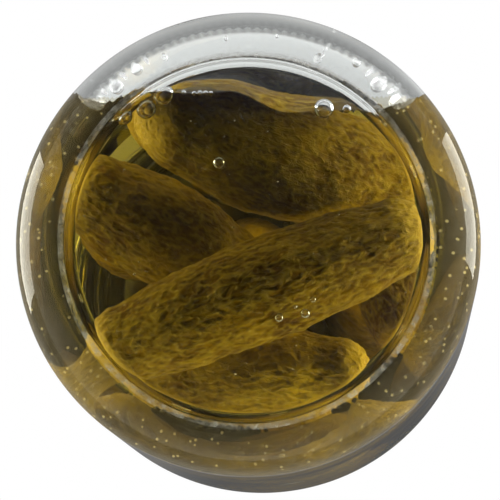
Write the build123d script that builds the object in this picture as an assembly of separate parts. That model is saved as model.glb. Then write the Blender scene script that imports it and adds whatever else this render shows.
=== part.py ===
from build123d import *

import math
import os

# A wide-mouth canning jar with a two-piece screw closure, packed with whole cucumbers in brine.
# Millimetres, +Z up. The origin is the middle of the bearing ring's plane, under the base.

# ---- driving dimensions: the glass ----
BODY_R = 49.0  # outside of the wall
WALL = 3.2
JAR_HEIGHT = 172.0
BEARING_R = 39.0  # the ring that the jar stands on
BEARING_HALF_WIDTH = 1.0
PUSH_UP = 3.2  # how far the middle of the base stands clear of the table
STEP_RUN = 0.5  # the small step on the inner side of the bearing ring
STEP_RISE = 0.6
HEEL_HEIGHT = 10.6  # round edge between the bearing ring and the wall
FLOOR_MIDDLE_Z = 7.6  # inside floor, on the axis
FLOOR_EDGE_Z = 5.2  # inside floor, over the bearing ring
INNER_CORNER = 9.0  # height of the round between the floor and the inside of the wall
SHOULDER_Z = 129.0  # where the straight wall ends
NECK_Z = 150.0  # where the neck begins
NECK_R = 41.6  # outside of the neck, which is the thread's root
MOUTH_R = 38.2
BEAD_R = 43.6  # the bead under the thread
BEAD_Z = 153.6
BEAD_HALF_HEIGHT = 1.5
LIP_ROUND = 1.2

# ---- driving dimensions: the thread and the closure ----
THREAD_PITCH = 5.08  # five threads per inch
THREAD_TURNS = 1.25
THREAD_CREST_R = 43.0
THREAD_START_Z = 159.6
THREAD_ROOT_HALF = 1.3  # half the ridge's height where it meets the neck
THREAD_CREST_HALF = 0.6
THREAD_SINK = 0.3  # how far the ridge is sunk into the neck, so that the two join
BAND_INNER_R = 43.6
BAND_WALL = 0.35
BAND_SKIRT_Z = 156.2  # lower edge of the skirt
BAND_CURL_OUT = 0.9  # how far the rolled lower edge stands out
BAND_CURL_HEIGHT = 1.4
BAND_THREAD_TURNS = 1.4
BAND_CREST_R = 42.1
BAND_ROOT_HALF = 1.25
BAND_CREST_HALF = 0.5
BAND_GROOVE_SHEET = 0.6  # sheet left between the groove outside and the crest inside
BAND_HOLE_R = 36.6  # the open middle of the band's top
LID_R = 43.1
LID_SHEET = 0.3
LID_DISH = 0.9  # how far the lid's middle lies below its rim
LID_STEP_IN = 1.4  # from the mouth's edge to the lid's step down into it
LID_STEP_RUN = 0.8
LID_BUTTON_R = 14.0
LID_BUTTON_RISE = 0.5
LID_BUTTON_RUN = 2.0
GASKET_INNER_R = 38.5
GASKET_OUTER_R = 42.0
GASKET_THICK = 0.8
GASKET_ROUND = 0.3

# ---- driving dimensions: the contents ----
BRINE_TOP_Z = 159.0
BRINE_GAP = 0.12  # between the brine and anything solid
POCKET_Y = 28.0  # trapped air lies beyond this, between the floor's edge and the wall
POCKET_TOP_Z = 44.0
POCKET_SLOPE = 0.12  # how far the liquid's face leans outwards for each millimetre up
PICKLE_END = 0.76  # a pickle's end radius, as a part of its middle radius

# The pickles that lie across the bottom of the jar:
# name, one end, the other end (both at the skin), radius at the middle.
CROSSWISE_PICKLES = [
    ("pickle_front", (34.6, -24.2, 21.8), (-39.4, 4.8, 21.2), 11.7),
    ("pickle_back", (24.2, 28.8, 26.5), (-37.6, 13.6, 49.0), 13.6),
    ("pickle_left", (41.2, 16.4, 46.0), (-1.0, -5.0, 62.0), 12.6),
    ("pickle_low", (28.2, -27.2, 45.0), (-26.6, -26.4, 36.0), 10.2),
    ("pickle_right", (-32.4, -20.4, 47.0), (-30.5, 0.0, 76.0), 8.0),
    ("pickle_wedged", (28.0, 29.0, 61.0), (-14.0, 34.0, 63.5), 10.6),
    ("pickle_crossed", (34.0, -20.0, 66.5), (-19.0, -33.0, 65.0), 10.0),
]

# The pickles that stand above them, one on the axis and six leaning around it.
STANDING_COUNT = 6
STANDING_CIRCLE_R = 29.2
STANDING_R = 13.2
STANDING_BOTTOM_Z = 78.0
STANDING_TOP_Z = 149.0
STANDING_LEAN = 9.0  # degrees that each one's top is turned about the jar's axis
STANDING_UNEVEN = 2.5  # the most that the lengths differ at each end
STANDING_START_ANGLE = 12.0
STANDING_THINNER = 0.4  # the most that their radii differ
MIDDLE_PICKLE_R = 13.4

# Loose cucumber seeds between the pickles and the wall.
SEED_COUNT = 12
SEED_LENGTH = 5.2
SEED_WIDTH = 2.2
SEED_THICK = 0.9
SEED_BEVEL = 0.2
SEED_ROOM = 0.4  # how much wider than a seed its notch in the liquid is
SEED_CIRCLE_R = 45.0
SEED_LOW_Z = 14.0
SEED_HIGH_Z = 120.0
SEED_START_ANGLE = 18.0
SEED_TURN = 360 * 0.382  # from each seed to the next, around the jar
SEED_TILT = 37.0  # from each seed to the next, about its own middle


def revolved(*edges):
    """The solid of revolution about +Z of a closed outline in the XZ plane."""
    return revolve(make_face(Wire(edges)), axis=Axis.Z)


def polyline_edges(points):
    return [Line((x0, 0, z0), (x1, 0, z1)) for (x0, z0), (x1, z1) in zip(points, points[1:])]


def xz(radius, height):
    return Vector(radius, 0, height)


def outer_outline():
    """The outside of the glass, from the middle of the base to the lip's outer edge."""
    ring_in = BEARING_R - BEARING_HALF_WIDTH
    ring_out = BEARING_R + BEARING_HALF_WIDTH
    step_r = ring_in - STEP_RUN
    bead_low = BEAD_Z - BEAD_HALF_HEIGHT
    bead_high = BEAD_Z + BEAD_HALF_HEIGHT
    return [
        ThreePointArc(xz(0, PUSH_UP), xz(step_r / 2, PUSH_UP - 0.6), xz(step_r, STEP_RISE)),
        Spline(xz(step_r, STEP_RISE), xz(ring_in, 0), tangents=[(1, 0, -0.2), (1, 0, -0.1)]),
        Line(xz(ring_in, 0), xz(ring_out, 0)),
        Spline(xz(ring_out, 0), xz(BODY_R, HEEL_HEIGHT), tangents=[(1, 0, 0), (0, 0, 1)]),
        Line(xz(BODY_R, HEEL_HEIGHT), xz(BODY_R, SHOULDER_Z)),
        Spline(xz(BODY_R, SHOULDER_Z), xz(NECK_R, NECK_Z), tangents=[(0, 0, 1), (0, 0, 1)]),
        Line(xz(NECK_R, NECK_Z), xz(NECK_R, bead_low)),
        ThreePointArc(xz(NECK_R, bead_low), xz(BEAD_R, BEAD_Z), xz(NECK_R, bead_high)),
        Line(xz(NECK_R, bead_high), xz(NECK_R, JAR_HEIGHT - LIP_ROUND)),
    ]


def inner_outline():
    """The inside of the glass, from the mouth down to the middle of the floor."""
    inner_r = BODY_R - WALL
    corner_z = FLOOR_EDGE_Z + INNER_CORNER
    return [
        Line(xz(MOUTH_R, JAR_HEIGHT - LIP_ROUND), xz(MOUTH_R, NECK_Z - 1)),
        Spline(
            xz(MOUTH_R, NECK_Z - 1), xz(inner_r, SHOULDER_Z - 1), tangents=[(0, 0, -1), (0, 0, -1)]
        ),
        Line(xz(inner_r, SHOULDER_Z - 1), xz(inner_r, corner_z)),
        Spline(xz(inner_r, corner_z), xz(BEARING_R - 1, FLOOR_EDGE_Z), tangents=[(0, 0, -1), (-1, 0, 0)]),
        Spline(
            xz(BEARING_R - 1, FLOOR_EDGE_Z), xz(0, FLOOR_MIDDLE_Z), tangents=[(-1, 0, 0), (-1, 0, 0)]
        ),
    ]


def make_glass():
    """The bare jar, with a rounded lip but no thread."""
    lip = [
        ThreePointArc(
            xz(NECK_R, JAR_HEIGHT - LIP_ROUND),
            xz(NECK_R - 0.3 * LIP_ROUND, JAR_HEIGHT - 0.3 * LIP_ROUND),
            xz(NECK_R - LIP_ROUND, JAR_HEIGHT),
        ),
        Line(xz(NECK_R - LIP_ROUND, JAR_HEIGHT), xz(MOUTH_R + LIP_ROUND, JAR_HEIGHT)),
        ThreePointArc(
            xz(MOUTH_R + LIP_ROUND, JAR_HEIGHT),
            xz(MOUTH_R + 0.3 * LIP_ROUND, JAR_HEIGHT - 0.3 * LIP_ROUND),
            xz(MOUTH_R, JAR_HEIGHT - LIP_ROUND),
        ),
    ]
    axis_line = Line(xz(0, FLOOR_MIDDLE_Z), xz(0, PUSH_UP))
    return revolved(*outer_outline(), *lip, *inner_outline(), axis_line)


def helical_ridge(root_r, crest_r, root_half, crest_half, start_z, turns):
    """A right-hand helical ridge of trapezoid section, its middle starting at start_z on +X."""
    path = Helix(
        pitch=THREAD_PITCH, height=THREAD_PITCH * turns, radius=root_r, center=(0, 0, start_z)
    )
    start = path @ 0
    plane = Plane(origin=start, x_dir=Vector(start.X, start.Y, 0), z_dir=path % 0)
    reach = crest_r - root_r
    section = plane * Polyline(
        (0, -root_half), (reach, -crest_half), (reach, crest_half), (0, root_half), close=True
    )
    return sweep(make_face(section), path=path, is_frenet=True)


def make_jar():
    thread = helical_ridge(
        NECK_R - THREAD_SINK,
        THREAD_CREST_R,
        THREAD_ROOT_HALF,
        THREAD_CREST_HALF,
        THREAD_START_Z,
        THREAD_TURNS,
    )
    return make_glass() + thread


def make_gasket():
    """The ring of soft sealing compound between the lid and the lip."""
    ring = Cylinder(GASKET_OUTER_R, GASKET_THICK) - Cylinder(GASKET_INNER_R, GASKET_THICK)
    ring = fillet(ring.edges().sort_by(Axis.Z)[-2:], GASKET_ROUND)
    return Pos(0, 0, JAR_HEIGHT + GASKET_THICK / 2) * ring


def make_lid():
    """The flat lid: a rim over the lip, a dished middle and a raised safety button."""
    rim_z = JAR_HEIGHT + GASKET_THICK
    wall_r = MOUTH_R - LID_STEP_IN
    dish_z = rim_z - LID_DISH
    button_z = dish_z + LID_BUTTON_RISE
    lower = [
        (0, button_z),
        (LID_BUTTON_R, button_z),
        (LID_BUTTON_R + LID_BUTTON_RUN, dish_z),
        (wall_r - LID_STEP_RUN, dish_z),
        (wall_r, rim_z),
        (LID_R, rim_z),
    ]
    upper = [(x, z + LID_SHEET) for x, z in reversed(lower)]
    return revolved(*polyline_edges(lower + upper + lower[:1]))


def make_band():
    """The screw band: a thin skirt with a rolled thread, a turned-in top and a rolled lower edge."""
    outer_r = BAND_INNER_R + BAND_WALL
    curl_r = outer_r + BAND_CURL_OUT
    top_z = JAR_HEIGHT + GASKET_THICK + LID_SHEET
    skirt = [
        (BAND_HOLE_R, top_z),
        (BAND_INNER_R, top_z),
        (BAND_INNER_R, BAND_SKIRT_Z),
        (curl_r, BAND_SKIRT_Z),
        (curl_r, BAND_SKIRT_Z + BAND_CURL_HEIGHT),
        (outer_r, BAND_SKIRT_Z + BAND_CURL_HEIGHT + 0.6),
        (outer_r, top_z),
        (outer_r - BAND_WALL, top_z + BAND_WALL),
        (BAND_HOLE_R, top_z + BAND_WALL),
    ]
    shell = revolved(*polyline_edges(skirt + skirt[:1]))
    start_z = THREAD_START_Z - THREAD_PITCH / 2
    ridge = helical_ridge(
        BAND_INNER_R + 0.2, BAND_CREST_R, BAND_ROOT_HALF, BAND_CREST_HALF, start_z, BAND_THREAD_TURNS
    )
    # The groove outside follows the ridge inside, a little narrower and shorter all round.
    groove = helical_ridge(
        outer_r + 0.3,
        BAND_CREST_R + BAND_GROOVE_SHEET,
        BAND_ROOT_HALF - 0.1,
        BAND_CREST_HALF / 2,
        start_z + 0.2,
        BAND_THREAD_TURNS - 0.08,
    )
    below = Cylinder(curl_r + 1, 5, align=(Align.CENTER, Align.CENTER, Align.MAX))
    return (shell + ridge - groove) - Pos(0, 0, BAND_SKIRT_Z) * below


def pickle_between(end_a, end_b, radius, grow=0.0):
    """A spindle with rounded ends, whose skin reaches end_a and end_b; grow thickens it all over."""
    a, b = Vector(*end_a), Vector(*end_b)
    along = (b - a).normalized()
    length = (b - a).length
    middle_r = radius + grow
    end_r = radius * PICKLE_END + grow
    half = length / 2 + grow
    start = half - end_r
    tip_45 = end_r * math.sqrt(0.5)
    outline = [
        ThreePointArc((0, 0, -half), (tip_45, 0, -start - tip_45), (end_r, 0, -start)),
        ThreePointArc((end_r, 0, -start), (middle_r, 0, 0), (end_r, 0, start)),
        ThreePointArc((end_r, 0, start), (tip_45, 0, start + tip_45), (0, 0, half)),
        Line((0, 0, half), (0, 0, -half)),
    ]
    return Plane(origin=(a + b) / 2, z_dir=along) * revolved(*outline)


def standing_pickles():
    """name, ends and radius of the pickles that stand on the lower ones."""
    centre_low = (0, 0, STANDING_BOTTOM_Z + 2)
    centre_high = (0, 0, STANDING_TOP_Z - 3)
    rows = [("pickle_centre", centre_low, centre_high, MIDDLE_PICKLE_R)]
    for index in range(STANDING_COUNT):
        angle = 360 / STANDING_COUNT * index + STANDING_START_ANGLE
        wave = math.sin(math.radians(137.5 * index))
        low = Vector(STANDING_CIRCLE_R, 0, STANDING_BOTTOM_Z + STANDING_UNEVEN * wave)
        high = Vector(STANDING_CIRCLE_R, 0, STANDING_TOP_Z - STANDING_UNEVEN * wave)
        low = low.rotate(Axis.Z, angle)
        high = high.rotate(Axis.Z, angle + STANDING_LEAN)
        radius = STANDING_R - STANDING_THINNER * abs(wave)
        rows.append((f"pickle_standing_{index + 1}", low, high, radius))
    return rows


def all_pickles():
    return CROSSWISE_PICKLES + standing_pickles()


def seed_places():
    """Where the loose seeds float, clear of the pickles: on a spiral just inside the wall."""
    places = []
    for index in range(SEED_COUNT):
        angle = SEED_TURN * index + SEED_START_ANGLE
        height = SEED_LOW_Z + (SEED_HIGH_Z - SEED_LOW_Z) * index / (SEED_COUNT - 1)
        places.append((angle, height))
    return places


def make_seeds():
    """Loose cucumber seeds, each a flat oval standing against the wall."""
    seeds = []
    for index, (angle, height) in enumerate(seed_places()):
        seed = Ellipse(SEED_LENGTH / 2, SEED_WIDTH / 2)
        seed = extrude(seed, SEED_THICK / 2, both=True)
        rim = seed.edges().filter_by(GeomType.CIRCLE, reverse=True).group_by(Axis.Z)[0]
        seed = chamfer(rim, SEED_BEVEL)
        seed = Rot(0, 0, SEED_TILT * index) * seed
        seeds.append(Rot(0, 0, angle) * Pos(SEED_CIRCLE_R, 0, height) * Rot(0, 90, 0) * seed)
    return Compound(children=seeds)


def make_air_pocket():
    """The space that trapped air keeps clear of liquid, up the inside of the wall."""
    foot_y = POCKET_Y - POCKET_SLOPE * FLOOR_EDGE_Z
    top_y = foot_y + POCKET_SLOPE * POCKET_TOP_Z
    side = Polyline(
        (0, foot_y, 0),
        (0, top_y, POCKET_TOP_Z),
        (0, BODY_R, POCKET_TOP_Z),
        (0, BODY_R, 0),
        close=True,
    )
    return extrude(make_face(side), amount=BODY_R, dir=(1, 0, 0), both=True)


def make_brine():
    """The liquid: the jar's inside up to the fill line, less the pickles and the trapped air."""
    inside_r = BODY_R - WALL - BRINE_GAP
    corner_z = FLOOR_EDGE_Z + INNER_CORNER
    floor_z = FLOOR_EDGE_Z + BRINE_GAP
    neck_r = MOUTH_R - BRINE_GAP
    outline = [
        Line(xz(0, BRINE_TOP_Z), xz(neck_r, BRINE_TOP_Z)),
        Line(xz(neck_r, BRINE_TOP_Z), xz(neck_r, NECK_Z - 1)),
        Spline(
            xz(neck_r, NECK_Z - 1), xz(inside_r, SHOULDER_Z - 1), tangents=[(0, 0, -1), (0, 0, -1)]
        ),
        Line(xz(inside_r, SHOULDER_Z - 1), xz(inside_r, corner_z)),
        Spline(
            xz(inside_r, corner_z),
            xz(BEARING_R - 1, floor_z),
            tangents=[(0, 0, -1), (-1, 0, 0)],
        ),
        Spline(
            xz(BEARING_R - 1, floor_z),
            xz(0, FLOOR_MIDDLE_Z + BRINE_GAP),
            tangents=[(-1, 0, 0), (-1, 0, 0)],
        ),
        Line(xz(0, FLOOR_MIDDLE_Z + BRINE_GAP), xz(0, BRINE_TOP_Z)),
    ]
    liquid = revolved(*outline)
    liquid -= make_air_pocket()
    for _, end_a, end_b, radius in all_pickles():
        liquid -= pickle_between(end_a, end_b, radius, grow=BRINE_GAP)
    room = SEED_LENGTH + SEED_ROOM
    notch = Box(WALL, room, room, align=(Align.MIN, Align.CENTER, Align.CENTER))
    notch_r = SEED_CIRCLE_R - SEED_THICK / 2 - SEED_ROOM / 2
    for angle, height in seed_places():
        liquid -= Rot(0, 0, angle) * Pos(notch_r, 0, height) * notch
    return liquid


def write(node, solid):
    """One STEP file per piece, named after it."""
    export_step(solid, f"parts/{node}.step")


def main():
    os.makedirs("parts", exist_ok=True)
    write("jar", make_jar())
    write("sealing_ring", make_gasket())
    write("lid_disc", make_lid())
    write("screw_band", make_band())
    for name, end_a, end_b, radius in all_pickles():
        write(name, pickle_between(end_a, end_b, radius))
    write("loose_seeds", make_seeds())
    write("brine", make_brine())


main()
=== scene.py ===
import math
import random

import bmesh
import bpy
from mathutils import Matrix, Vector, noise


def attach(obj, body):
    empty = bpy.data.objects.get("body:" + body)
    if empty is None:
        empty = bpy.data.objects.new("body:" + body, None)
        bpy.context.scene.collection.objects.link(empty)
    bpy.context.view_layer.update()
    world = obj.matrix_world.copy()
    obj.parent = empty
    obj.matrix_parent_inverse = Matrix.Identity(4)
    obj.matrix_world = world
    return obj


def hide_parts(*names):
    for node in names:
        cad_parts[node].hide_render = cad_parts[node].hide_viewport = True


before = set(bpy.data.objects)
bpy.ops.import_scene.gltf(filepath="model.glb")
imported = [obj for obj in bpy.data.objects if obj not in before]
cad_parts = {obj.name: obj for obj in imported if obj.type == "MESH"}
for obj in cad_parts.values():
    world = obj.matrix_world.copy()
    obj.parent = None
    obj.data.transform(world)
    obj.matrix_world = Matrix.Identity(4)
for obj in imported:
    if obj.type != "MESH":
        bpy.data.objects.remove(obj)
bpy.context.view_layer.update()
noise.seed_set(1)  # noise_vector would otherwise start from the clock and differ on every run

MM = 0.001

# ---- the jar's dimensions, in millimetres, as the CAD jar has them ----
BODY_R = 49.0
WALL = 3.2
JAR_HEIGHT = 172.0
BEARING_R = 39.0
BEARING_HALF_WIDTH = 1.0
PUSH_UP = 3.2
STEP_RUN = 0.5
STEP_RISE = 0.6
HEEL_HEIGHT = 10.6
FLOOR_MIDDLE_Z = 7.6
FLOOR_EDGE_Z = 5.2
INNER_CORNER = 9.0
SHOULDER_Z = 129.0
NECK_Z = 150.0
NECK_R = 41.6
MOUTH_R = 38.2
BEAD_Z = 153.6
BEAD_RISE = 1.9
BEAD_HALF_HEIGHT = 1.6
LIP_ROUND = 1.2
THREAD_PITCH = 5.08
THREAD_TURNS = 1.25
THREAD_START_Z = 159.6
THREAD_DEPTH = 1.35
THREAD_ROOT_HALF = 1.5
THREAD_CREST_HALF = 0.5
BRINE_TOP_Z = 159.0
POCKET_Y = 28.0
POCKET_TOP_Z = 44.0
PICKLE_END = 0.76  # radius of a pickle's round end, as a share of its largest radius
LID_LIFT = 0.8  # height of the sealing compound between the lip and the lid
LID_SHEET = 0.3

# ---- worked out from them ----
WALL_IN_R = BODY_R - WALL
FLOOR_EDGE_R = BEARING_R - 1.0
CORNER_TOP_Z = FLOOR_EDGE_Z + INNER_CORNER
POCKET_CUT_Z = POCKET_TOP_Z + 8.0
GLASS_FLOOR_LOW_Z = PUSH_UP + 0.7  # the inside of the glass lies above this, the base's outside below it
LID_Z = JAR_HEIGHT + LID_LIFT

# ---- what the CAD jar doesn't have ----
KNURL_TEETH = 144
KNURL_HEIGHT = 0.05
CORNER_RIPPLE_R = 43.9
CORNER_RIPPLE = 0.06
# the bearing ring's milky band: partly scuffing, partly painted reflection of light on the ring
SCUFF_R = (38.5, 39.6)
SCUFF_TOP_Z = 0.1
MURK_TOP_Z = 13.0  # painted shade with pale specks lies against the glass below this, beyond the bearing ring
MURK_IN_R = 40.0
POCKET_SLOPE = 0.12  # how far the liquid's face leans outwards for each millimetre up
BRINE_INSET = 0.03  # the liquid stays this far off the glass
MENISCUS = 2.6
PICKLE_BEND = (0.5, 1.1)
WRINKLE_STRETCH = 0.55  # share of a pickle's length taken out of the noise, so that wrinkles run along it

# ---- optics ----
GLASS_IOR = 1.5
BRINE_IOR = 1.35
CLEAR = (1.0, 1.0, 1.0)
DRY, WET, SCUFFED, MURKY, HEEL = range(5)  # the jar's material slots


# ======================================================================================
# Nodes and materials
# ======================================================================================
def new_material(name):
    """An empty material, its node tree and its output node."""
    material = bpy.data.materials.new(name)
    material.use_nodes = True
    tree = material.node_tree
    tree.nodes.clear()
    output = tree.nodes.new("ShaderNodeOutputMaterial")
    return material, tree, output


def node(tree, kind, **settings):
    """A new node; a setting is one of its properties, or else a socket, with _ for a space in its name."""
    made = tree.nodes.new(kind)
    for key, value in settings.items():
        if hasattr(made, key):
            setattr(made, key, value)
        else:
            made.inputs[key.replace("_", " ")].default_value = value
    return made


def ramp(tree, source, stops):
    """A colour ramp fed by source; stops are (position, colour), from low to high."""
    made = tree.nodes.new("ShaderNodeValToRGB")
    elements = made.color_ramp.elements
    elements.remove(elements[-1])
    elements[0].position = stops[0][0]
    elements[0].color = (*stops[0][1], 1.0)
    for place, colour in stops[1:]:
        elements.new(place).color = (*colour, 1.0)
    tree.links.new(source, made.inputs["Fac"])
    return made.outputs["Color"]


def object_noise(tree, scale, detail=2.0, roughness=0.5, distortion=0.0):
    """Noise in the object's own space; scale is features per metre."""
    place = tree.nodes.new("ShaderNodeTexCoord")
    made = node(tree, "ShaderNodeTexNoise", Scale=scale, Detail=detail, Roughness=roughness)
    made.inputs["Distortion"].default_value = distortion
    tree.links.new(place.outputs["Object"], made.inputs["Vector"])
    return made.outputs["Fac"]


def bump(tree, height, strength, distance, below=None):
    """A bumped normal on top of the one below; distance is in metres."""
    made = node(tree, "ShaderNodeBump", Strength=strength, Distance=distance)
    tree.links.new(height, made.inputs["Height"])
    if below is not None:
        tree.links.new(below, made.inputs["Normal"])
    return made.outputs["Normal"]


def grey(level):
    """A neutral colour, and a plain share where a ramp feeds one."""
    return (level, level, level)


def mixed(tree, share, first, second):
    """The first shader node, replaced by the second in the given share."""
    mix = tree.nodes.new("ShaderNodeMixShader")
    tree.links.new(share, mix.inputs["Fac"])
    tree.links.new(first.outputs[0], mix.inputs[1])
    tree.links.new(second.outputs[0], mix.inputs[2])
    return mix


def lets_lamps_through(tree, shader):
    """Shadow rays pass a clear surface, so that lamps light what lies behind it."""
    light_path = tree.nodes.new("ShaderNodeLightPath")
    clear = tree.nodes.new("ShaderNodeBsdfTransparent")
    return mixed(tree, light_path.outputs["Is Shadow Ray"], shader, clear).outputs["Shader"]


def glass_shader(tree, ior, tint=CLEAR, roughness=0.0):
    glass = tree.nodes.new("ShaderNodeBsdfGlass")
    glass.inputs["Color"].default_value = (*tint, 1.0)
    glass.inputs["IOR"].default_value = ior
    glass.inputs["Roughness"].default_value = roughness
    return glass


def glass_material(name, ior, tint=CLEAR, ripple=0.0):
    """Clear glass; ripple is the height of its waves in millimetres."""
    material, tree, output = new_material(name)
    glass = glass_shader(tree, ior, tint)
    if ripple:
        wave = object_noise(tree, scale=70.0, detail=1.0)
        tree.links.new(bump(tree, wave, 1.0, ripple * MM), glass.inputs["Normal"])
    tree.links.new(lets_lamps_through(tree, glass), output.inputs["Surface"])
    return material


def worn_glass_material(name, bloom_colour, least, most, roughness=0.0, tint=CLEAR, ior=GLASS_IOR):
    """Glass mixed with a pale diffuse whose share wanders between least and most: part wear, part painted
    glint.
    """
    material, tree, output = new_material(name)
    glass = glass_shader(tree, ior, tint, roughness)
    bloom = tree.nodes.new("ShaderNodeBsdfDiffuse")
    bloom.inputs["Color"].default_value = (*bloom_colour, 1.0)
    wear = object_noise(tree, scale=420.0, detail=4.0, roughness=0.7)
    share = ramp(tree, wear, [(0.40, grey(least)), (0.66, grey(most))])
    worn = mixed(tree, share, glass, bloom)
    tree.links.new(lets_lamps_through(tree, worn), output.inputs["Surface"])
    return material


def murky_glass_material():
    """Wet glass with painted shade behind it: a dark olive diffuse layer for the shade of the deep corner,
    with pale specks.
    """
    material, tree, output = new_material("glass_painted_shade_and_specks")
    glass = glass_shader(tree, GLASS_IOR / BRINE_IOR)
    place = tree.nodes.new("ShaderNodeTexCoord")
    specks = node(tree, "ShaderNodeTexVoronoi", Scale=560.0)
    tree.links.new(place.outputs["Object"], specks.inputs["Vector"])
    # painted shade: the dark olive diffuse stands in for the shade of the deep corner, where the brine is
    # unlit; the cream gives the pale specks
    olive, cream = (0.046, 0.034, 0.008), (0.34, 0.28, 0.12)
    tone = ramp(tree, specks.outputs["Distance"], [(0.12, cream), (0.25, olive)])
    sediment = tree.nodes.new("ShaderNodeBsdfDiffuse")
    tree.links.new(tone, sediment.inputs["Color"])
    drift = object_noise(tree, scale=60.0, detail=3.0)
    thickness = ramp(tree, drift, [(0.35, grey(0.42)), (0.62, grey(0.72))])
    cloudy = mixed(tree, thickness, glass, sediment)
    tree.links.new(lets_lamps_through(tree, cloudy), output.inputs["Surface"])
    return material


def brine_material():
    """Pale olive liquid: it bends light only at its free surfaces, as the glass bends it at the wall."""
    material, tree, output = new_material("brine")
    free = node(tree, "ShaderNodeAttribute", attribute_name="free_surface")
    clear = tree.nodes.new("ShaderNodeBsdfTransparent")
    surface = mixed(tree, free.outputs["Fac"], clear, glass_shader(tree, BRINE_IOR))
    tree.links.new(lets_lamps_through(tree, surface), output.inputs["Surface"])
    volume = tree.nodes.new("ShaderNodeVolumeAbsorption")
    volume.inputs["Color"].default_value = (0.79, 0.75, 0.42, 1.0)
    volume.inputs["Density"].default_value = 50.0
    tree.links.new(volume.outputs["Volume"], output.inputs["Volume"])
    return material


def tinted(tree, below, mask, amount, colour):
    """below, painted over with colour where mask is white, by amount."""
    share = node(tree, "ShaderNodeMath", operation="MULTIPLY")
    share.inputs[1].default_value = amount
    tree.links.new(mask, share.inputs[0])
    painted = node(tree, "ShaderNodeMix", data_type="RGBA", blend_type="MIX")
    tree.links.new(share.outputs["Value"], painted.inputs["Factor"])
    tree.links.new(below, painted.inputs[6])
    painted.inputs[7].default_value = (*colour, 1.0)
    return painted.outputs[2]


def pickle_material(name, seed, dark, light):
    """Cured cucumber skin, mottled from dark to light, with pale pores and brown freckles, a painted
    highlight on the wrinkle crests and a painted glow at the ends.
    """
    material, tree, output = new_material(name)
    place = tree.nodes.new("ShaderNodeTexCoord")
    shift = tree.nodes.new("ShaderNodeVectorMath")
    shift.inputs[1].default_value = (0.31 * seed, 0.17 * seed, 0.23 * seed)
    tree.links.new(place.outputs["Object"], shift.inputs[0])

    def noise_at(scale, detail, roughness=0.55):
        made = node(tree, "ShaderNodeTexNoise", Scale=scale, Detail=detail, Roughness=roughness)
        tree.links.new(shift.outputs["Vector"], made.inputs["Vector"])
        return made.outputs["Fac"]

    black, white = grey(0), grey(1)
    patches = noise_at(75.0, 4.0)
    fine = noise_at(700.0, 5.0, 0.65)
    middle = tuple((low + high) / 2 for low, high in zip(dark, light))
    blotch = ramp(tree, patches, [(0.3, dark), (0.52, middle), (0.72, light)])
    grain = ramp(tree, fine, [(0.32, (0.45, 0.42, 0.36)), (0.62, (1.25, 1.2, 1.1))])
    skin = node(tree, "ShaderNodeMix", data_type="RGBA", blend_type="MULTIPLY")
    skin.inputs["Factor"].default_value = 0.85
    tree.links.new(blotch, skin.inputs[6])
    tree.links.new(grain, skin.inputs[7])

    drawn_out = node(tree, "ShaderNodeAttribute", attribute_name="drawn_out")
    threads = node(tree, "ShaderNodeTexNoise", Scale=700.0, Detail=2.0)
    threads.inputs["Distortion"].default_value = 0.8
    tree.links.new(drawn_out.outputs["Vector"], threads.inputs["Vector"])
    thread_mask = ramp(tree, threads.outputs["Fac"], [(0.42, black), (0.50, white), (0.58, black)])
    crest = node(tree, "ShaderNodeAttribute", attribute_name="crest")
    crest_mask = ramp(tree, crest.outputs["Fac"], [(0.50, black), (0.85, white)])
    freckle_mask = ramp(tree, noise_at(260.0, 2.0, 0.5), [(0.30, white), (0.38, black)])
    pores = node(tree, "ShaderNodeTexVoronoi", Scale=420.0)
    tree.links.new(shift.outputs["Vector"], pores.inputs["Vector"])
    pore_mask = ramp(tree, pores.outputs["Distance"], [(0.08, white), (0.20, black)])
    along = node(tree, "ShaderNodeAttribute", attribute_name="along")
    end_mask = ramp(tree, along.outputs["Fac"], [(0.78, black), (1.0, white)])

    layers = [
        (thread_mask, 0.22, (0.42, 0.30, 0.026)),
        # painted highlight: the tops of the wrinkles are coloured lighter
        (crest_mask, 0.34, (0.48, 0.35, 0.035)),
        (freckle_mask, 0.4, (0.080, 0.022, 0.001)),
        (pore_mask, 0.30, (0.50, 0.38, 0.08)),
        # painted glow: the ends are coloured lighter yellow, for light shining through them
        (end_mask, 0.65, (0.60, 0.40, 0.045)),
    ]
    coloured = skin.outputs[2]
    for mask, amount, colour in layers:
        coloured = tinted(tree, coloured, mask, amount, colour)

    shader = tree.nodes.new("ShaderNodeBsdfPrincipled")
    tree.links.new(coloured, shader.inputs["Base Color"])
    shader.inputs["Roughness"].default_value = 0.45
    shader.inputs["Specular IOR Level"].default_value = 0.05
    relief = bump(tree, fine, 0.75, 0.4 * MM)
    relief = bump(tree, thread_mask, 0.45, 0.2 * MM, relief)
    tree.links.new(bump(tree, pore_mask, 0.5, 0.2 * MM, relief), shader.inputs["Normal"])
    tree.links.new(shader.outputs["BSDF"], output.inputs["Surface"])
    return material


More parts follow.
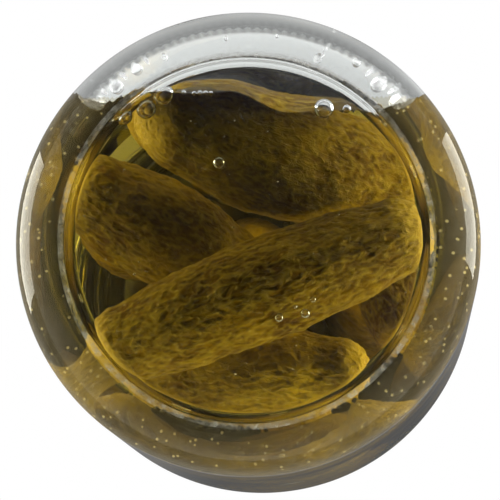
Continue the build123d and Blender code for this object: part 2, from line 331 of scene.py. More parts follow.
def tinplate_material(name, tint):
    """Bright rolled tinplate: fine turning marks, faint smudges and slight wear."""
    material, tree, output = new_material(name)
    place = tree.nodes.new("ShaderNodeTexCoord")
    stretch = node(tree, "ShaderNodeVectorMath", operation="MULTIPLY")
    stretch.inputs[1].default_value = (1.0, 1.0, 14.0)
    tree.links.new(place.outputs["Object"], stretch.inputs[0])
    lines = node(tree, "ShaderNodeTexNoise", Scale=260.0, Detail=4.0, Roughness=0.6)
    tree.links.new(stretch.outputs["Vector"], lines.inputs["Vector"])
    smudge = object_noise(tree, scale=45.0, detail=4.0, roughness=0.6)
    shader = tree.nodes.new("ShaderNodeBsdfPrincipled")
    shader.inputs["Metallic"].default_value = 1.0
    darker = tuple(0.82 * c for c in tint)
    tree.links.new(ramp(tree, smudge, [(0.35, darker), (0.65, tint)]), shader.inputs["Base Color"])
    rough = node(tree, "ShaderNodeMapRange", To_Min=0.16, To_Max=0.36)
    tree.links.new(smudge, rough.inputs["Value"])
    tree.links.new(rough.outputs["Result"], shader.inputs["Roughness"])
    tree.links.new(bump(tree, lines.outputs["Fac"], 0.25, 0.05 * MM), shader.inputs["Normal"])
    tree.links.new(shader.outputs["BSDF"], output.inputs["Surface"])
    return material


def compound_material():
    """Soft grey sealing compound, slightly mottled."""
    material, tree, output = new_material("sealing_compound")
    shader = tree.nodes.new("ShaderNodeBsdfPrincipled")
    mottle = object_noise(tree, scale=500.0, detail=3.0)
    stops = [(0.3, (0.12, 0.12, 0.115)), (0.7, (0.2, 0.2, 0.19))]
    tree.links.new(ramp(tree, mottle, stops), shader.inputs["Base Color"])
    shader.inputs["Roughness"].default_value = 0.6
    tree.links.new(bump(tree, mottle, 0.4, 0.1 * MM), shader.inputs["Normal"])
    tree.links.new(shader.outputs["BSDF"], output.inputs["Surface"])
    return material


def seed_material():
    """Cream cucumber seed, translucent at its rim."""
    material, tree, output = new_material("seed")
    shader = tree.nodes.new("ShaderNodeBsdfPrincipled")
    mottle = object_noise(tree, scale=900.0, detail=3.0)
    stops = [(0.3, (0.42, 0.33, 0.16)), (0.7, (0.68, 0.58, 0.36))]
    tree.links.new(ramp(tree, mottle, stops), shader.inputs["Base Color"])
    shader.inputs["Roughness"].default_value = 0.5
    shader.inputs["Subsurface Weight"].default_value = 0.2
    shader.inputs["Subsurface Scale"].default_value = 0.5 * MM
    tree.links.new(bump(tree, mottle, 0.4, 0.1 * MM), shader.inputs["Normal"])
    tree.links.new(shader.outputs["BSDF"], output.inputs["Surface"])
    return material


def floor_material():
    """Pale matt paper, seen only from above: from below it isn't there."""
    material, tree, output = new_material("floor")
    shader = tree.nodes.new("ShaderNodeBsdfDiffuse")
    tone = object_noise(tree, scale=6.0, detail=2.0)
    stops = [(0.3, grey(0.80)), (0.7, grey(0.84))]
    tree.links.new(ramp(tree, tone, stops), shader.inputs["Color"])
    geometry = tree.nodes.new("ShaderNodeNewGeometry")
    clear = tree.nodes.new("ShaderNodeBsdfTransparent")
    paper = mixed(tree, geometry.outputs["Backfacing"], shader, clear)
    tree.links.new(lets_lamps_through(tree, paper), output.inputs["Surface"])
    return material


# ======================================================================================
# Outlines, in millimetres as (radius, height)
# ======================================================================================
def smooth_step(x):
    """0 below 0, 1 above 1, and an even S between them."""
    x = min(max(x, 0.0), 1.0)
    return x * x * (3 - 2 * x)


def between(a, b, count):
    """count points from a towards b, without b."""
    return [(a[0] + (b[0] - a[0]) * i / count, a[1] + (b[1] - a[1]) * i / count) for i in range(count)]


def ellipse(centre, radii, start, stop, count):
    """count points along an ellipse from start towards stop, in degrees, without the last."""
    points = []
    for i in range(count):
        angle = math.radians(start + (stop - start) * i / count)
        points.append((centre[0] + radii[0] * math.cos(angle), centre[1] + radii[1] * math.sin(angle)))
    return points


def s_curve(a, b, count):
    """count points from a towards b, leaving and arriving upright, without b."""
    points = []
    for i in range(count):
        t = i / count
        points.append((a[0] + (b[0] - a[0]) * smooth_step(t), a[1] + (b[1] - a[1]) * t))
    return points


def s_curve_across(a, b, count):
    """As s_curve, but leaving and arriving level."""
    points = []
    for i in range(count):
        t = i / count
        points.append((a[0] + (b[0] - a[0]) * t, a[1] + (b[1] - a[1]) * smooth_step(t)))
    return points


def dome(edge, middle, count):
    """count points from edge towards the axis, level at both ends, without the last."""
    points = []
    for i in range(count):
        t = i / count
        ease = 0.5 - 0.5 * math.cos(math.pi * t)
        points.append((edge[0] * (1 - t), edge[1] + (middle - edge[1]) * ease))
    return points


def floor_height(radius):
    """Height of the glass floor inside the jar at a radius."""
    t = 1 - min(radius / FLOOR_EDGE_R, 1)
    return FLOOR_EDGE_Z + (FLOOR_MIDDLE_Z - FLOOR_EDGE_Z) * (0.5 - 0.5 * math.cos(math.pi * t))


def inside_outline(inset):
    """The jar's inside from the middle of the floor up to the neck, drawn inwards by inset."""
    floor_edge = (FLOOR_EDGE_R, FLOOR_EDGE_Z + inset)
    wall_r = WALL_IN_R - inset
    corner = (wall_r - FLOOR_EDGE_R, CORNER_TOP_Z - floor_edge[1])
    outline = [(0.0, FLOOR_MIDDLE_Z + inset)]
    outline += dome(floor_edge, FLOOR_MIDDLE_Z + inset, 26)[:0:-1]
    outline += ellipse((FLOOR_EDGE_R, CORNER_TOP_Z), corner, -90, 0, 18)
    outline += between((wall_r, CORNER_TOP_Z), (wall_r, SHOULDER_Z - 1), 16)
    outline += s_curve((wall_r, SHOULDER_Z - 1), (MOUTH_R - inset, NECK_Z - 1), 14)
    return outline


def outside_outline():
    """The glass from the middle of the base, out and up to the lip."""
    ring_in = BEARING_R - BEARING_HALF_WIDTH
    ring_out = BEARING_R + BEARING_HALF_WIDTH
    step = (ring_in - STEP_RUN, STEP_RISE)
    outline = [(0.0, PUSH_UP)] + dome(step, PUSH_UP, 22)[:0:-1]
    outline += s_curve(step, (ring_in, 0.0), 7)
    outline += between((ring_in, 0.0), (ring_out, 0.0), 5)
    outline += ellipse((ring_out, HEEL_HEIGHT), (BODY_R - ring_out, HEEL_HEIGHT), -90, 0, 22)
    outline += between((BODY_R, HEEL_HEIGHT), (BODY_R, SHOULDER_Z), 14)
    outline += s_curve((BODY_R, SHOULDER_Z), (NECK_R, NECK_Z), 14)
    outline += between((NECK_R, NECK_Z), (NECK_R, BEAD_Z - BEAD_HALF_HEIGHT), 2)
    outline += ellipse((NECK_R, BEAD_Z), (BEAD_RISE, BEAD_HALF_HEIGHT), -90, 90, 9)
    outline += between((NECK_R, BEAD_Z + BEAD_HALF_HEIGHT + 0.1), (NECK_R, JAR_HEIGHT - LIP_ROUND), 44)
    outline += ellipse((NECK_R - LIP_ROUND, JAR_HEIGHT - LIP_ROUND), (LIP_ROUND, LIP_ROUND), 0, 90, 5)
    return outline


# ======================================================================================
# Meshes
# ======================================================================================
def add_object(name, mesh, materials, body):
    """A smooth-shaded piece that rides on a body, with the given materials."""
    piece = bpy.data.objects.new(name, mesh)
    bpy.context.scene.collection.objects.link(piece)
    for material in materials:
        mesh.materials.append(material)
    mesh.shade_smooth()
    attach(piece, body)
    return piece


def lathe(name, outline, segments, shape=None, closed_loop=False):
    """A surface of revolution. shape(r, z, angle) may move each point. Ends on the axis close as fans."""
    verts = []
    rings = []
    for r, z in outline:
        if r < 1e-6:
            rings.append([len(verts)])
            verts.append((0.0, 0.0, z * MM))
            continue
        ring = []
        for i in range(segments):
            angle = 2 * math.pi * i / segments
            pr, pz = shape(r, z, angle) if shape else (r, z)
            ring.append(len(verts))
            verts.append((pr * MM * math.cos(angle), pr * MM * math.sin(angle), pz * MM))
        rings.append(ring)
    pairs = list(zip(rings, rings[1:]))
    if closed_loop:
        pairs.append((rings[-1], rings[0]))
    faces = []
    for low, high in pairs:
        for i in range(segments):
            j = (i + 1) % segments
            if len(low) == 1:
                faces.append((low[0], high[j], high[i]))
            elif len(high) == 1:
                faces.append((low[i], low[j], high[0]))
            else:
                faces.append((low[i], low[j], high[j], high[i]))
    mesh = bpy.data.meshes.new(name)
    mesh.from_pydata(verts, [], faces)
    mesh.update()
    return mesh


def thread_rise(angle, z, start_z, turns, half_root, half_crest):
    """0 to 1: how far a point of a helical ridge stands out at this angle and height."""
    best = 0.0
    for lap in range(int(turns) + 1):
        turn = angle / (2 * math.pi) + lap
        if turn > turns:
            continue
        off = abs(z - start_z - THREAD_PITCH * turn)
        flank = smooth_step((half_root - off) / (half_root - half_crest))
        fade = smooth_step(turn / 0.06) * smooth_step((turns - turn) / 0.06)
        best = max(best, flank * fade)
    return best


def pocket_face(x, z):
    """Where the liquid's face stands, in Y, beside the trapped air; it leans out to meet the wall."""
    lean = POCKET_SLOPE * (z - FLOOR_EDGE_Z)
    climb = max(z - FLOOR_EDGE_Z, 0) / (POCKET_TOP_Z - FLOOR_EDGE_Z)
    closing = 16.0 * climb**5
    ripple = 1.2 * noise.noise(Vector((x / 15, z / 22, 3.7)))
    sag = 0.0016 * x * x
    swell = 4.2 * smooth_step((x + 9) / 13) * (1 - smooth_step((x - 21) / 10))
    return POCKET_Y - 0.8 + lean + sag + swell + ripple + closing


def in_pocket(x, y, z):
    """Whether a point on the inside of the glass, in millimetres, lies in the trapped air."""
    return z < POCKET_CUT_Z and y > pocket_face(x, z)


def jar_shape(r, z, angle):
    """Moves a point of the plain outline: the thread, the knurled ring, the waves of the inside."""
    if BEAD_Z + BEAD_HALF_HEIGHT < z < JAR_HEIGHT - 2 and r > NECK_R - 0.1:
        rise = thread_rise(angle, z, THREAD_START_Z, THREAD_TURNS, THREAD_ROOT_HALF, THREAD_CREST_HALF)
        return r + THREAD_DEPTH * rise, z
    if z < 0.8 and BEARING_R - 2.2 < r < BEARING_R + 2.6:
        near = 1 - abs(r - BEARING_R - 0.2) / 1.6
        tooth = 0.5 - 0.5 * math.cos(KNURL_TEETH * angle)
        return r, z + KNURL_HEIGHT * tooth * smooth_step(near)
    if 0.5 < r < WALL_IN_R + 0.01 and GLASS_FLOOR_LOW_Z < z < SHOULDER_Z:
        x, y = r * math.cos(angle), r * math.sin(angle)
        if abs(r - CORNER_RIPPLE_R) < 0.3 and z < CORNER_TOP_Z and y > POCKET_Y:
            return r + CORNER_RIPPLE * math.cos(KNURL_TEETH * angle), z
        swell = noise.noise(Vector((x / 16, y / 16, z / 30)))
        if z > FLOOR_EDGE_Z + 6:
            return r + 0.16 * swell, z
        return r, z + 0.14 * swell
    return r, z


def jar_slot(x, y, z):
    """Which of the jar's materials a face with its middle at this point takes."""
    radius = math.hypot(x, y)
    inside = radius < WALL_IN_R + 0.4 and z > GLASS_FLOOR_LOW_Z
    inside = inside and not (radius > NECK_R - 1.5 and z > NECK_Z)
    if inside and z < BRINE_TOP_Z + 1 and not in_pocket(x, y, z):
        # painted shade: the wet glass of the deep corner beyond the bearing ring takes the dark olive layer
        return MURKY if radius > MURK_IN_R and z < MURK_TOP_Z else WET
    # the bearing ring: partly scuffed glass, partly painted reflection
    if z < SCUFF_TOP_Z and SCUFF_R[0] < radius < SCUFF_R[1]:
        return SCUFFED
    # the outer heel away from the trapped air takes a darker tint: partly thick glass, partly painted shade
    if not inside and z < HEEL_HEIGHT and radius > SCUFF_R[1] and y < POCKET_Y + 2:
        return HEEL
    return DRY


def jar_materials():
    """In the order of DRY, WET, SCUFFED, MURKY and HEEL."""
    return [
        glass_material("glass_dry", GLASS_IOR, (0.985, 0.995, 0.99), ripple=0.05),
        glass_material("glass_wet", GLASS_IOR / BRINE_IOR, ripple=0.1),
        # bearing ring: the milky share is partly scuffing, partly painted reflection
        worn_glass_material("glass_scuffed_and_glinting", (0.66, 0.66, 0.60), 0.03, 0.45, roughness=0.12),
        murky_glass_material(),
        # heel glass: the tint is partly the olive of thick glass, partly painted shade over the brine seen
        # round the base; with a faint pale share
        worn_glass_material("glass_heel", (0.75, 0.68, 0.50), 0.010, 0.025, tint=(0.84, 0.82, 0.72)),
    ]


def make_jar():
    """The glass in one closed skin: dry outside, wet inside below the brine's top."""
    inside = inside_outline(0.0)
    inside += between((MOUTH_R, NECK_Z - 1), (MOUTH_R, JAR_HEIGHT - LIP_ROUND), 8)
    inside += ellipse((MOUTH_R + LIP_ROUND, JAR_HEIGHT - LIP_ROUND), (LIP_ROUND, LIP_ROUND), 180, 90, 5)
    outline = outside_outline() + [(NECK_R - LIP_ROUND, JAR_HEIGHT)] + inside[::-1]
    mesh = lathe("jar_glass", outline, 720, jar_shape)
    jar = add_object("jar_glass", mesh, jar_materials(), "jar")
    for face in mesh.polygons:
        face.material_index = jar_slot(*(c / MM for c in face.center))
    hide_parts("jar")


def pocket_cutter():
    """A block that stands for the trapped air: its front is the liquid's face."""
    mesh = bpy.data.meshes.new("pocket_cutter")
    shape = bmesh.new()
    columns, rows = 96, 48
    low_z = -4.0
    back_y = BODY_R + 30.0
    front = []
    back = []
    for i in range(columns + 1):
        x = BODY_R * (2 * i / columns - 1)
        heights = [low_z + (POCKET_CUT_Z - low_z) * j / rows for j in range(rows + 1)]
        front.append([shape.verts.new(Vector((x, pocket_face(x, z), z)) * MM) for z in heights])
        back.append([shape.verts.new(Vector((x, back_y, z)) * MM) for z in heights])
    for side, turn in ((front, 1), (back, -1)):
        for i in range(columns):
            for j in range(rows):
                corners = (side[i][j], side[i + 1][j], side[i + 1][j + 1], side[i][j + 1])
                shape.faces.new(corners[::turn])
    for i in range(columns):
        shape.faces.new((front[i][0], back[i][0], back[i + 1][0], front[i + 1][0]))
        shape.faces.new((front[i][-1], front[i + 1][-1], back[i + 1][-1], back[i][-1]))
    for j in range(rows):
        shape.faces.new((front[0][j], front[0][j + 1], back[0][j + 1], back[0][j]))
        shape.faces.new((front[-1][j], back[-1][j], back[-1][j + 1], front[-1][j + 1]))
    bmesh.ops.recalc_face_normals(shape, faces=shape.faces)
    shape.to_mesh(mesh)
    shape.free()
    cutter = bpy.data.objects.new("pocket_cutter", mesh)
    bpy.context.scene.collection.objects.link(cutter)
    return cutter


def is_free_brine(x, y, z):
    """Whether a point on the liquid's skin, in millimetres, meets air and not glass."""
    radius = math.hypot(x, y)
    if z > BRINE_TOP_Z - 0.5:
        return radius < MOUTH_R - BRINE_INSET - 0.05
    if y < pocket_face(x, z) - 0.3 or z > POCKET_CUT_Z:
        return False
    if z > CORNER_TOP_Z:
        return radius < WALL_IN_R - 0.3
    if radius <= FLOOR_EDGE_R:
        return z > floor_height(radius) + 0.25
    across = (radius - FLOOR_EDGE_R) / (WALL_IN_R - FLOOR_EDGE_R)
    down = 1 - (z - FLOOR_EDGE_Z) / INNER_CORNER
    return math.hypot(across, down) < 0.96


def mark_free_surface(mesh):
    """Stores, for every face of the liquid, 1 where it meets air and 0 where it meets glass."""
    layer = mesh.attributes.new("free_surface", "FLOAT", "FACE")
    for face in mesh.polygons:
        layer.data[face.index].value = float(is_free_brine(*(c / MM for c in face.center)))


def carved_mesh(piece, cutter):
    """The piece's mesh with the cutter's block taken out."""
    cut = piece.modifiers.new("pocket", "BOOLEAN")
    cut.operation = "DIFFERENCE"
    cut.object = cutter
    cut.solver = "EXACT"
    graph = bpy.context.evaluated_depsgraph_get()
    carved = bpy.data.meshes.new_from_object(piece.evaluated_get(graph))
    piece.modifiers.remove(cut)
    return carved


def make_brine():
    """The liquid, closed by its upper surface, with the trapped air cut out of its foot."""
    neck_r = MOUTH_R - BRINE_INSET
    outline = inside_outline(BRINE_INSET)
    outline += between((neck_r, NECK_Z - 1), (neck_r, BRINE_TOP_Z + 1), 4)
    outline += ellipse((neck_r - MENISCUS, BRINE_TOP_Z + 1), (MENISCUS, 1), 0, -90, 7)
    outline += between((neck_r - MENISCUS, BRINE_TOP_Z), (0.0, BRINE_TOP_Z), 5)
    outline.append((0.0, BRINE_TOP_Z))
    mesh = lathe("brine_liquid", outline, 240)
    brine = add_object("brine_liquid", mesh, [brine_material()], "jar")
    cutter = pocket_cutter()
    brine.data = carved_mesh(brine, cutter)
    bpy.data.objects.remove(cutter)
    mark_free_surface(brine.data)
    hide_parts("brine")


def pickle_axis(cad):
    """Middle, direction, half length and radius of a CAD pickle in millimetres, from its own vertices."""
    points = [v.co for v in cad.data.vertices]
    middle = sum(points, Vector()) / len(points)
    far = max(points, key=lambda p: (p - middle).length)
    other = max(points, key=lambda p: (p - far).length)
    along = (other - far).normalized()
    middle = (far + other) / 2
    half = (other - far).length / 2
    radius = max(((p - middle) - along * (p - middle).dot(along)).length for p in points)
    return middle / MM, along, half / MM, radius / MM


def pickle_radius(s, half, radius):
    """The CAD pickle's radius at a distance s from its middle."""
    end = radius * PICKLE_END
    start = half - end
    if abs(s) > start:
        return math.sqrt(max(end * end - (abs(s) - start) ** 2, 0.0))
    swell = (start * start + (radius - end) ** 2) / (2 * (radius - end))
    return math.sqrt(swell * swell - s * s) - (swell - radius)


def skin_height(p, drawn, seed):
    """How far the skin stands out at p, in millimetres, and how high there on a wrinkle, 0 to 1."""
    shift = Vector((19.0 * seed, 7.0 * seed, 11.0 * seed))
    lumps = 0.55 * noise.noise((p + shift) / 9.0)
    cells = noise.voronoi((p + shift) / 4.2)[0]
    warts = 0.30 * smooth_step(1.0 - cells[0] / 0.5)
    warp = drawn + shift + 0.7 * noise.noise_vector((p + shift) / 3.0)
    wrinkle = 1.0 - 4.0 * abs(noise.noise(warp / 1.45))
    crease = 1.0 - 4.0 * abs(noise.noise(warp / 0.7))
    crest = 0.5 + 0.32 * wrinkle + 0.16 * crease
    return lumps + warts + 0.12 * wrinkle + 0.07 * crease - 0.60, crest


def pickle_faces(rings, sides):
    """Faces between rings of points, closed at both ends by one point each."""
    faces = []
    last = 1 + (rings - 1) * sides
    for j in range(sides):
        k = (j + 1) % sides
        faces.append((0, 1 + k, 1 + j))
        faces.append((last, last - sides + j, last - sides + k))
    for i in range(rings - 2):
        a = 1 + i * sides
        for j in range(sides):
            k = (j + 1) % sides
            faces.append((a + j, a + k, a + sides + k, a + sides + j))
    return faces


def turn_faces_outwards(mesh):
    shape = bmesh.new()
    shape.from_mesh(mesh)
    bmesh.ops.recalc_face_normals(shape, faces=shape.faces)
    shape.to_mesh(mesh)
    shape.free()


def make_pickle(name, seed, rings, sides, material):
    """A CAD pickle with a slight bend and a lumpy, wrinkled skin."""
    middle, along, half, radius = pickle_axis(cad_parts[name])
    across = along.cross(Vector((0, 0, 1))).normalized()
    if across.length < 0.5:
        across = Vector((1, 0, 0))
    third = along.cross(across)
    rng = random.Random(seed)
    bend_angle = rng.uniform(0, 2 * math.pi)
    bend = rng.uniform(*PICKLE_BEND)
    bend_way = across * math.cos(bend_angle) + third * math.sin(bend_angle)
    barrel = half - radius * PICKLE_END
    verts = []
    alongs = []
    crests = []
    drawn_out = []
    for i in range(rings + 1):
        s = -half * math.cos(math.pi * i / rings)
        r = pickle_radius(s, half, radius)
        centre = middle + along * s + bend_way * bend * (1 - 2 * (s / half) ** 2)
        for j in range(1 if i in (0, rings) else sides):
            angle = 2 * math.pi * j / sides
            out = across * math.cos(angle) + third * math.sin(angle)
            normal = (out * r + along * (s - math.copysign(min(abs(s), barrel), s))).normalized()
            p = centre + out * r
            drawn = p - WRINKLE_STRETCH * along * along.dot(p)
            height, crest = skin_height(p, drawn, seed)
            verts.append((p + normal * height) * MM)
            alongs.append(abs(s) / half)
            crests.append(crest)
            drawn_out.extend(drawn * MM)
    mesh = bpy.data.meshes.new(name + "_flesh")
    mesh.from_pydata(verts, [], pickle_faces(rings, sides))
    for key, values in (("along", alongs), ("crest", crests)):
        mesh.attributes.new(key, "FLOAT", "POINT").data.foreach_set("value", values)
    layer = mesh.attributes.new("drawn_out", "FLOAT_VECTOR", "POINT")
    layer.data.foreach_set("vector", drawn_out)
    mesh.update()
    turn_faces_outwards(mesh)
    piece = add_object(name + "_flesh", mesh, [material], "jar")
    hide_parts(name)


def make_pickles():
    """Every CAD pickle with a skin of its own, finer on the five next to the base."""
    # the darkest and the lightest skin colour, first of most pickles and then of those that differ
    usual = ((0.065, 0.027, 0.0006), (0.26, 0.165, 0.004))
    tones = {
        "pickle_front": ((0.050, 0.019, 0.0004), (0.22, 0.132, 0.002)),
        "pickle_low": ((0.110, 0.056, 0.0010), (0.46, 0.31, 0.010)),
        "pickle_right": ((0.055, 0.022, 0.0005), (0.20, 0.120, 0.003)),
    }
    near_base = ("pickle_front", "pickle_back", "pickle_left", "pickle_low", "pickle_right")
    names = sorted(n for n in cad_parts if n.startswith("pickle"))
    for index, name in enumerate(names):
        rings, sides = (230, 170) if name in near_base else (110, 90)
        seed = index + 1
        dark, light = tones.get(name, usual)
        skin = pickle_material(name + "_skin", seed, dark, light)
        make_pickle(name, seed, rings, sides, skin)


def make_bubbles():
    """Air bubbles that cling to the glass floor, the biggest beside the trapped air."""
    air = glass_material("bubble_air", 1.0 / BRINE_IOR)
    # x and y of the middle, radius, lift above the floor
    bubbles = [
        (17.8, 31.3, 2.3, 0.1),
        (21.4, 28.2, 2.1, 0.1),
        (26.0, 26.6, 1.8, 0.1),
        (-16.1, 28.2, 2.1, 0.1),
        (-20.9, 28.0, 0.9, 0.1),
        (11.2, 31.4, 0.5, 0.1),
        (10.0, 31.5, 0.55, 0.1),
        (8.8, 31.5, 0.5, 0.1),
        (7.7, 31.4, 0.5, 0.1),
        (13.4, 31.6, 0.45, 0.1),
        (6.1, 17.0, 1.25, 0.3),
        (-12.2, -15.1, 1.0, 0.3),
        (-6.7, -16.0, 0.9, 0.3),
        (-13.9, -12.2, 0.6, 0.3),
        (-10.1, -13.7, 0.4, 0.3),
    ]
    rng = random.Random(7)
    for _ in range(60):
        angle = rng.uniform(0, 2 * math.pi)
        distance = 37 * math.sqrt(rng.random())
        x, y = distance * math.cos(angle), distance * math.sin(angle)
        if y < POCKET_Y - 1:
            bubbles.append((x, y, rng.uniform(0.1, 0.24), rng.uniform(0.1, 1.2)))
    shape = bmesh.new()
    for x, y, radius, lift in bubbles:
        height = floor_height(math.hypot(x, y)) + lift + radius
        place = Matrix.Translation(Vector((x, y, height)) * MM) @ Matrix.Diagonal((1, 1, 0.9, 1))
        fineness = 4 if radius > 0.6 else 3
        bmesh.ops.create_icosphere(shape, subdivisions=fineness, radius=radius * MM, matrix=place)
    mesh = bpy.data.meshes.new("bubbles")
    shape.to_mesh(mesh)
    shape.free()
    add_object("bubbles", mesh, [air], "jar")


def make_drops():
    """Drops of brine left on the glass at both ends of the trapped air."""
    # angle around the jar and around the inner corner, both in degrees, then half width and half length
    drops = [
        (43, -34, 1.9, 3.4),
        (46.5, -30, 0.6, 4.6),
        (50, -36, 1.5, 2.4),
        (53.5, -30, 0.55, 4.8),
        (57.5, -34, 1.2, 1.8),
        (61, -30, 0.5, 4.6),
        (66, -50, 0.6, 0.9),
        (137, -34, 1.9, 3.4),
        (133.5, -30, 0.6, 4.6),
        (129.5, -36, 1.6, 2.6),
        (125.5, -30, 0.6, 4.8),
        (121, -26, 0.9, 1.4),
        (112, -40, 0.45, 3.6),
        (111, -60, 0.9, 1.0),
        (98, -40, 0.4, 0.5),
        (84, -48, 0.4, 0.5),
    ]
    corner = Vector((WALL_IN_R - FLOOR_EDGE_R, INNER_CORNER))
    shape = bmesh.new()
    for turn, lean, half_width, half_length in drops:
        turn, lean = math.radians(turn), math.radians(lean)
        out = Vector((math.cos(turn), math.sin(turn), 0.0))
        point = out * (FLOOR_EDGE_R + corner.x * math.cos(lean))
        point.z = CORNER_TOP_Z + corner.y * math.sin(lean)
        inward = (-out * math.cos(lean) / corner.x - Vector((0, 0, math.sin(lean) / corner.y))).normalized()
        thick = 0.6 * half_width
        middle = (point + inward * (thick + 0.3)) * MM
        around = Vector((-out.y, out.x, 0.0))
        turned = Matrix((around, inward.cross(around), inward)).transposed().to_4x4()
        size = Matrix.Diagonal((half_width, half_length, thick, 1))
        place = Matrix.Translation(middle) @ turned @ size
        bmesh.ops.create_icosphere(shape, subdivisions=4, radius=MM, matrix=place)
    mesh = bpy.data.meshes.new("brine_drops")
    shape.to_mesh(mesh)
    shape.free()
    # the pale share on the drops is painted glint
    film = worn_glass_material("drop_brine", grey(0.9), 0.08, 0.35, ior=BRINE_IOR)
    add_object("brine_drops", mesh, [film], "jar")


def make_seeds():
    """The loose seeds keep their CAD shape and get their own finish."""
    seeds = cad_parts["loose_seeds"]
    seeds.data.materials.clear()
    seeds.data.materials.append(seed_material())


def make_lid():
    """The flat lid: rolled rim, a step down into the mouth, a stiffening ring and a safety button."""
    edge_r = 43.0
    dish_z = LID_Z - 0.9
    button_z = dish_z + 0.5
    ring_z = dish_z + 0.35
    lower = [(0.0, button_z)]
    lower += between((13.0, button_z), (14.0, button_z), 2)
    lower += s_curve_across((14.0, button_z), (16.0, dish_z), 8)
    lower += between((16.0, dish_z), (26.0, dish_z), 2)
    lower += s_curve_across((26.0, dish_z), (27.2, ring_z), 6)
    lower += s_curve_across((27.2, ring_z), (28.4, dish_z), 6)
    lower += between((28.4, dish_z), (36.0, dish_z), 3)
    lower += s_curve_across((36.0, dish_z), (37.2, LID_Z), 8)
    lower += between((37.2, LID_Z), (edge_r, LID_Z), 4)
    lower.append((edge_r, LID_Z))
    upper = [(r, z + LID_SHEET) for r, z in reversed(lower)]
    edge = ellipse((edge_r, LID_Z + LID_SHEET / 2), (0.1, LID_SHEET / 2), -60, 90, 4)
    mesh = lathe("lid_sheet", lower + edge + upper, 180)
    tinplate = tinplate_material("lid_tinplate", (0.83, 0.82, 0.79))
    lid = add_object("lid_sheet", mesh, [tinplate], "lid")
    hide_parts("lid_disc")


def make_gasket():
    """The sealing compound: a low rounded ring flowed into the lid's rim."""
    low_z = JAR_HEIGHT
    outline = [(38.6, LID_Z), (38.5, LID_Z - 0.3)]
    outline += ellipse((39.0, low_z + 0.4), (0.5, 0.4), 180, 270, 5)
    outline += between((39.0, low_z), (41.4, low_z), 3)
    outline += ellipse((41.4, low_z + 0.4), (0.5, 0.4), -90, 0, 5)
    outline += [(41.9, low_z + 0.4), (41.8, LID_Z)]
    mesh = lathe("sealing_compound_ring", outline, 160, closed_loop=True)
    ring = add_object("sealing_compound_ring", mesh, [compound_material()], "lid")
    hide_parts("sealing_ring")


def make_band():
    """The screw band: sheet with a rolled thread, a turned-in top and a curled lower edge."""
    sheet = 0.35
    inner_r = 43.6
    outer_r = inner_r + sheet
    hole_r = 36.6
    top_z = LID_Z + LID_SHEET
    skirt_z = 156.2
    round_out, round_in = 1.1, 0.9
    curl = 0.62
    curl_middle = (outer_r + 0.25, skirt_z + curl)
    outline = [(hole_r, top_z), (hole_r, top_z + 0.2)]
    outline += ellipse((hole_r + 0.3, top_z + 0.2), (0.3, sheet - 0.2), 180, 90, 3)
    outline += between((hole_r + 0.3, top_z + sheet), (outer_r - round_out, top_z + sheet), 4)
    outline += ellipse((outer_r - round_out, top_z + sheet - round_out), (round_out, round_out), 90, 0, 7)
    outline += between((outer_r, top_z + sheet - round_out), (outer_r, skirt_z + 1.7), 60)
    outline += ellipse(curl_middle, (curl, curl), 70, -90, 9)
    outline += ellipse(curl_middle, (curl, curl), -90, -150, 3)
    outline += between((inner_r, skirt_z + 0.5), (inner_r, top_z - round_in), 60)
    outline += ellipse((inner_r - round_in, top_z - round_in), (round_in, round_in), 0, 90, 5)
    outline += between((inner_r - round_in, top_z), (hole_r, top_z), 3)

    def shape(r, z, angle):
        if skirt_z + 1.2 < z < top_z - 1.2 and r > 43.0:
            groove = thread_rise(angle, z, THREAD_START_Z - THREAD_PITCH / 2, 1.4, 1.45, 0.2)
            return r - THREAD_DEPTH * groove, z
        return r, z

    mesh = lathe("band_sheet", outline, 300, shape, closed_loop=True)
    tinplate = tinplate_material("band_tinplate", (0.80, 0.79, 0.76))
    band = add_object("band_sheet", mesh, [tinplate], "band")
    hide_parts("screw_band")


# ======================================================================================
# The studio
# ======================================================================================
def make_floor():
    bpy.ops.mesh.primitive_plane_add(size=6.0, location=(0, 0, 0))
    floor = bpy.context.object
    floor.name = "studio_floor"
    floor.data.materials.append(floor_material())


def sky_strength(tree, height, light_path):
    """The sky dims right overhead, and high up for light that surfaces mirror but don't bend."""
    overhead = node(tree, "ShaderNodeMapRange", From_Min=0.9965, From_Max=0.9990, To_Min=1.0, To_Max=0.30)
    tree.links.new(height, overhead.inputs["Value"])
    steep = node(tree, "ShaderNodeMapRange", From_Min=0.75, From_Max=0.92, To_Min=0.0, To_Max=0.65)
    tree.links.new(height, steep.inputs["Value"])
    reflected = node(tree, "ShaderNodeMath", operation="SUBTRACT")
    tree.links.new(light_path.outputs["Is Glossy Ray"], reflected.inputs[0])
    tree.links.new(light_path.outputs["Is Transmission Ray"], reflected.inputs[1])
    loss = node(tree, "ShaderNodeMath", operation="MULTIPLY")
    tree.links.new(reflected.outputs["Value"], loss.inputs[0])
    tree.links.new(steep.outputs["Result"], loss.inputs[1])
    left_over = node(tree, "ShaderNodeMapRange", To_Min=1.0, To_Max=0.0)
    tree.links.new(loss.outputs["Value"], left_over.inputs["Value"])
    strength = node(tree, "ShaderNodeMath", operation="MULTIPLY")
    tree.links.new(overhead.outputs["Result"], strength.inputs[0])
    tree.links.new(left_over.outputs["Result"], strength.inputs[1])
    return strength.outputs["Value"]


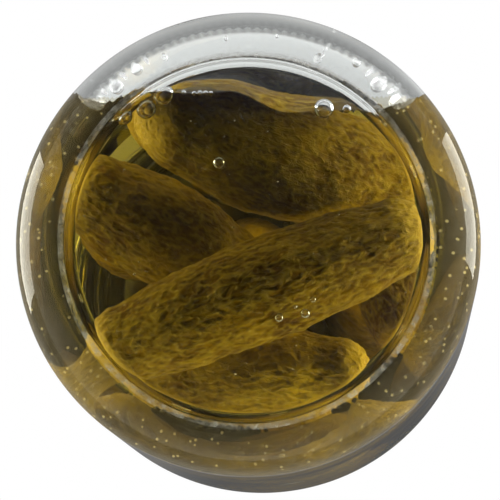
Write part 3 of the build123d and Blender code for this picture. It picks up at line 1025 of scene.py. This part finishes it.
def make_world():
    """White to the camera; otherwise dark below, soft at the sides and bright above."""
    world = bpy.data.worlds.new("studio")
    bpy.context.scene.world = world
    world.use_nodes = True
    tree = world.node_tree
    tree.nodes.clear()
    output = tree.nodes.new("ShaderNodeOutputWorld")
    place = tree.nodes.new("ShaderNodeTexCoord")
    split = tree.nodes.new("ShaderNodeSeparateXYZ")
    tree.links.new(place.outputs["Generated"], split.inputs["Vector"])
    from_foot = node(tree, "ShaderNodeMapRange", From_Min=-1.0, From_Max=1.0)
    tree.links.new(split.outputs["Z"], from_foot.inputs["Value"])
    # 0 is straight down, 0.5 level and 1 straight up
    brightness = [
        (0.0, 0.03),
        (0.42, 0.05),
        (0.49, 0.32),
        (0.56, 0.32),
        (0.62, 0.25),
        (0.80, 0.45),
        (0.90, 0.60),
        (0.95, 1.0),
    ]
    stops = [(where, grey(level)) for where, level in brightness]
    light_path = tree.nodes.new("ShaderNodeLightPath")
    around = tree.nodes.new("ShaderNodeBackground")
    tree.links.new(ramp(tree, from_foot.outputs["Result"], stops), around.inputs["Color"])
    tree.links.new(sky_strength(tree, split.outputs["Z"], light_path), around.inputs["Strength"])
    white = node(tree, "ShaderNodeBackground", Strength=1.0)
    white.inputs["Color"].default_value = (1, 1, 1, 1)
    sky = mixed(tree, light_path.outputs["Is Camera Ray"], around, white)
    tree.links.new(sky.outputs["Shader"], output.inputs["Surface"])


def soft_box(name, place, target, width, height, power):
    """A rectangular lamp that faces the target."""
    data = bpy.data.lights.new(name, "AREA")
    data.shape = "RECTANGLE"
    data.size = width
    data.size_y = height
    data.energy = power
    lamp = bpy.data.objects.new(name, data)
    bpy.context.scene.collection.objects.link(lamp)
    lamp.location = place
    lamp.rotation_euler = (Vector(target) - Vector(place)).to_track_quat("-Z", "Y").to_euler()
    return lamp


def make_lights():
    """Boxes at both sides and above, and small ones around the foot that only light, and never show."""
    middle = (0, 0, 0.08)
    soft_box("left_box", (0.75, 0.1, 0.30), middle, 0.5, 0.6, 6.0)
    soft_box("right_box", (-0.75, 0.2, 0.30), middle, 0.5, 0.6, 6.0)
    top = soft_box("top_box", (0.0, -0.2, 0.95), middle, 0.7, 0.7, 6.0)
    top.visible_glossy = False
    top.visible_transmission = False
    base = (0, 0, 0.01)
    distance = 0.42
    # where around the jar, in degrees, and power; the picture's right is at 180, its foot at 270
    low_boxes = [(20, 2.2), (92, 1.4), (164, 3.0), (236, 2.0), (308, 1.4)]
    for index, (turn, power) in enumerate(low_boxes):
        angle = math.radians(turn)
        place = (distance * math.cos(angle), distance * math.sin(angle), -0.02)
        lamp = soft_box(f"low_box_{index + 1}", place, base, 0.30, 0.06, power)
        lamp.visible_camera = False
        lamp.visible_glossy = False
        lamp.visible_transmission = False


def make_camera():
    """Looks up at the base, tilted so that the lid end lies towards the picture's lower right."""
    distance = 1.1
    tilt = math.radians(4.6)
    lean = math.radians(-70.0)
    data = bpy.data.cameras.new("camera")
    camera = bpy.data.objects.new("camera", data)
    bpy.context.scene.collection.objects.link(camera)
    bpy.context.scene.camera = camera
    data.sensor_width = 36.0
    data.lens = 376.0
    data.clip_start = 0.05
    data.clip_end = 20.0
    across = math.sin(tilt)
    forward = Vector((math.cos(lean) * across, -math.sin(lean) * across, math.cos(tilt)))
    target = Vector((-0.4, -1.3, 10.0)) * MM
    right = forward.cross(Vector((0, 1, 0))).normalized()
    up = right.cross(forward)
    turn = Matrix((right, up, -forward)).transposed()
    camera.matrix_world = Matrix.Translation(target - forward * distance) @ turn.to_4x4()


def render_settings():
    """Light that reaches through glass comes by the shadow rays alone, so nothing is counted twice."""
    scene = bpy.context.scene
    scene.view_settings.view_transform = "Standard"
    scene.cycles.caustics_refractive = False
    scene.cycles.caustics_reflective = False
    scene.cycles.max_bounces = 18
    scene.cycles.transmission_bounces = 18
    scene.cycles.glossy_bounces = 8
    scene.cycles.transparent_max_bounces = 40


make_camera()
render_settings()
make_world()
make_lights()
make_floor()
make_jar()
make_brine()
make_pickles()
make_bubbles()
make_drops()
make_seeds()
make_lid()
make_gasket()
make_band()
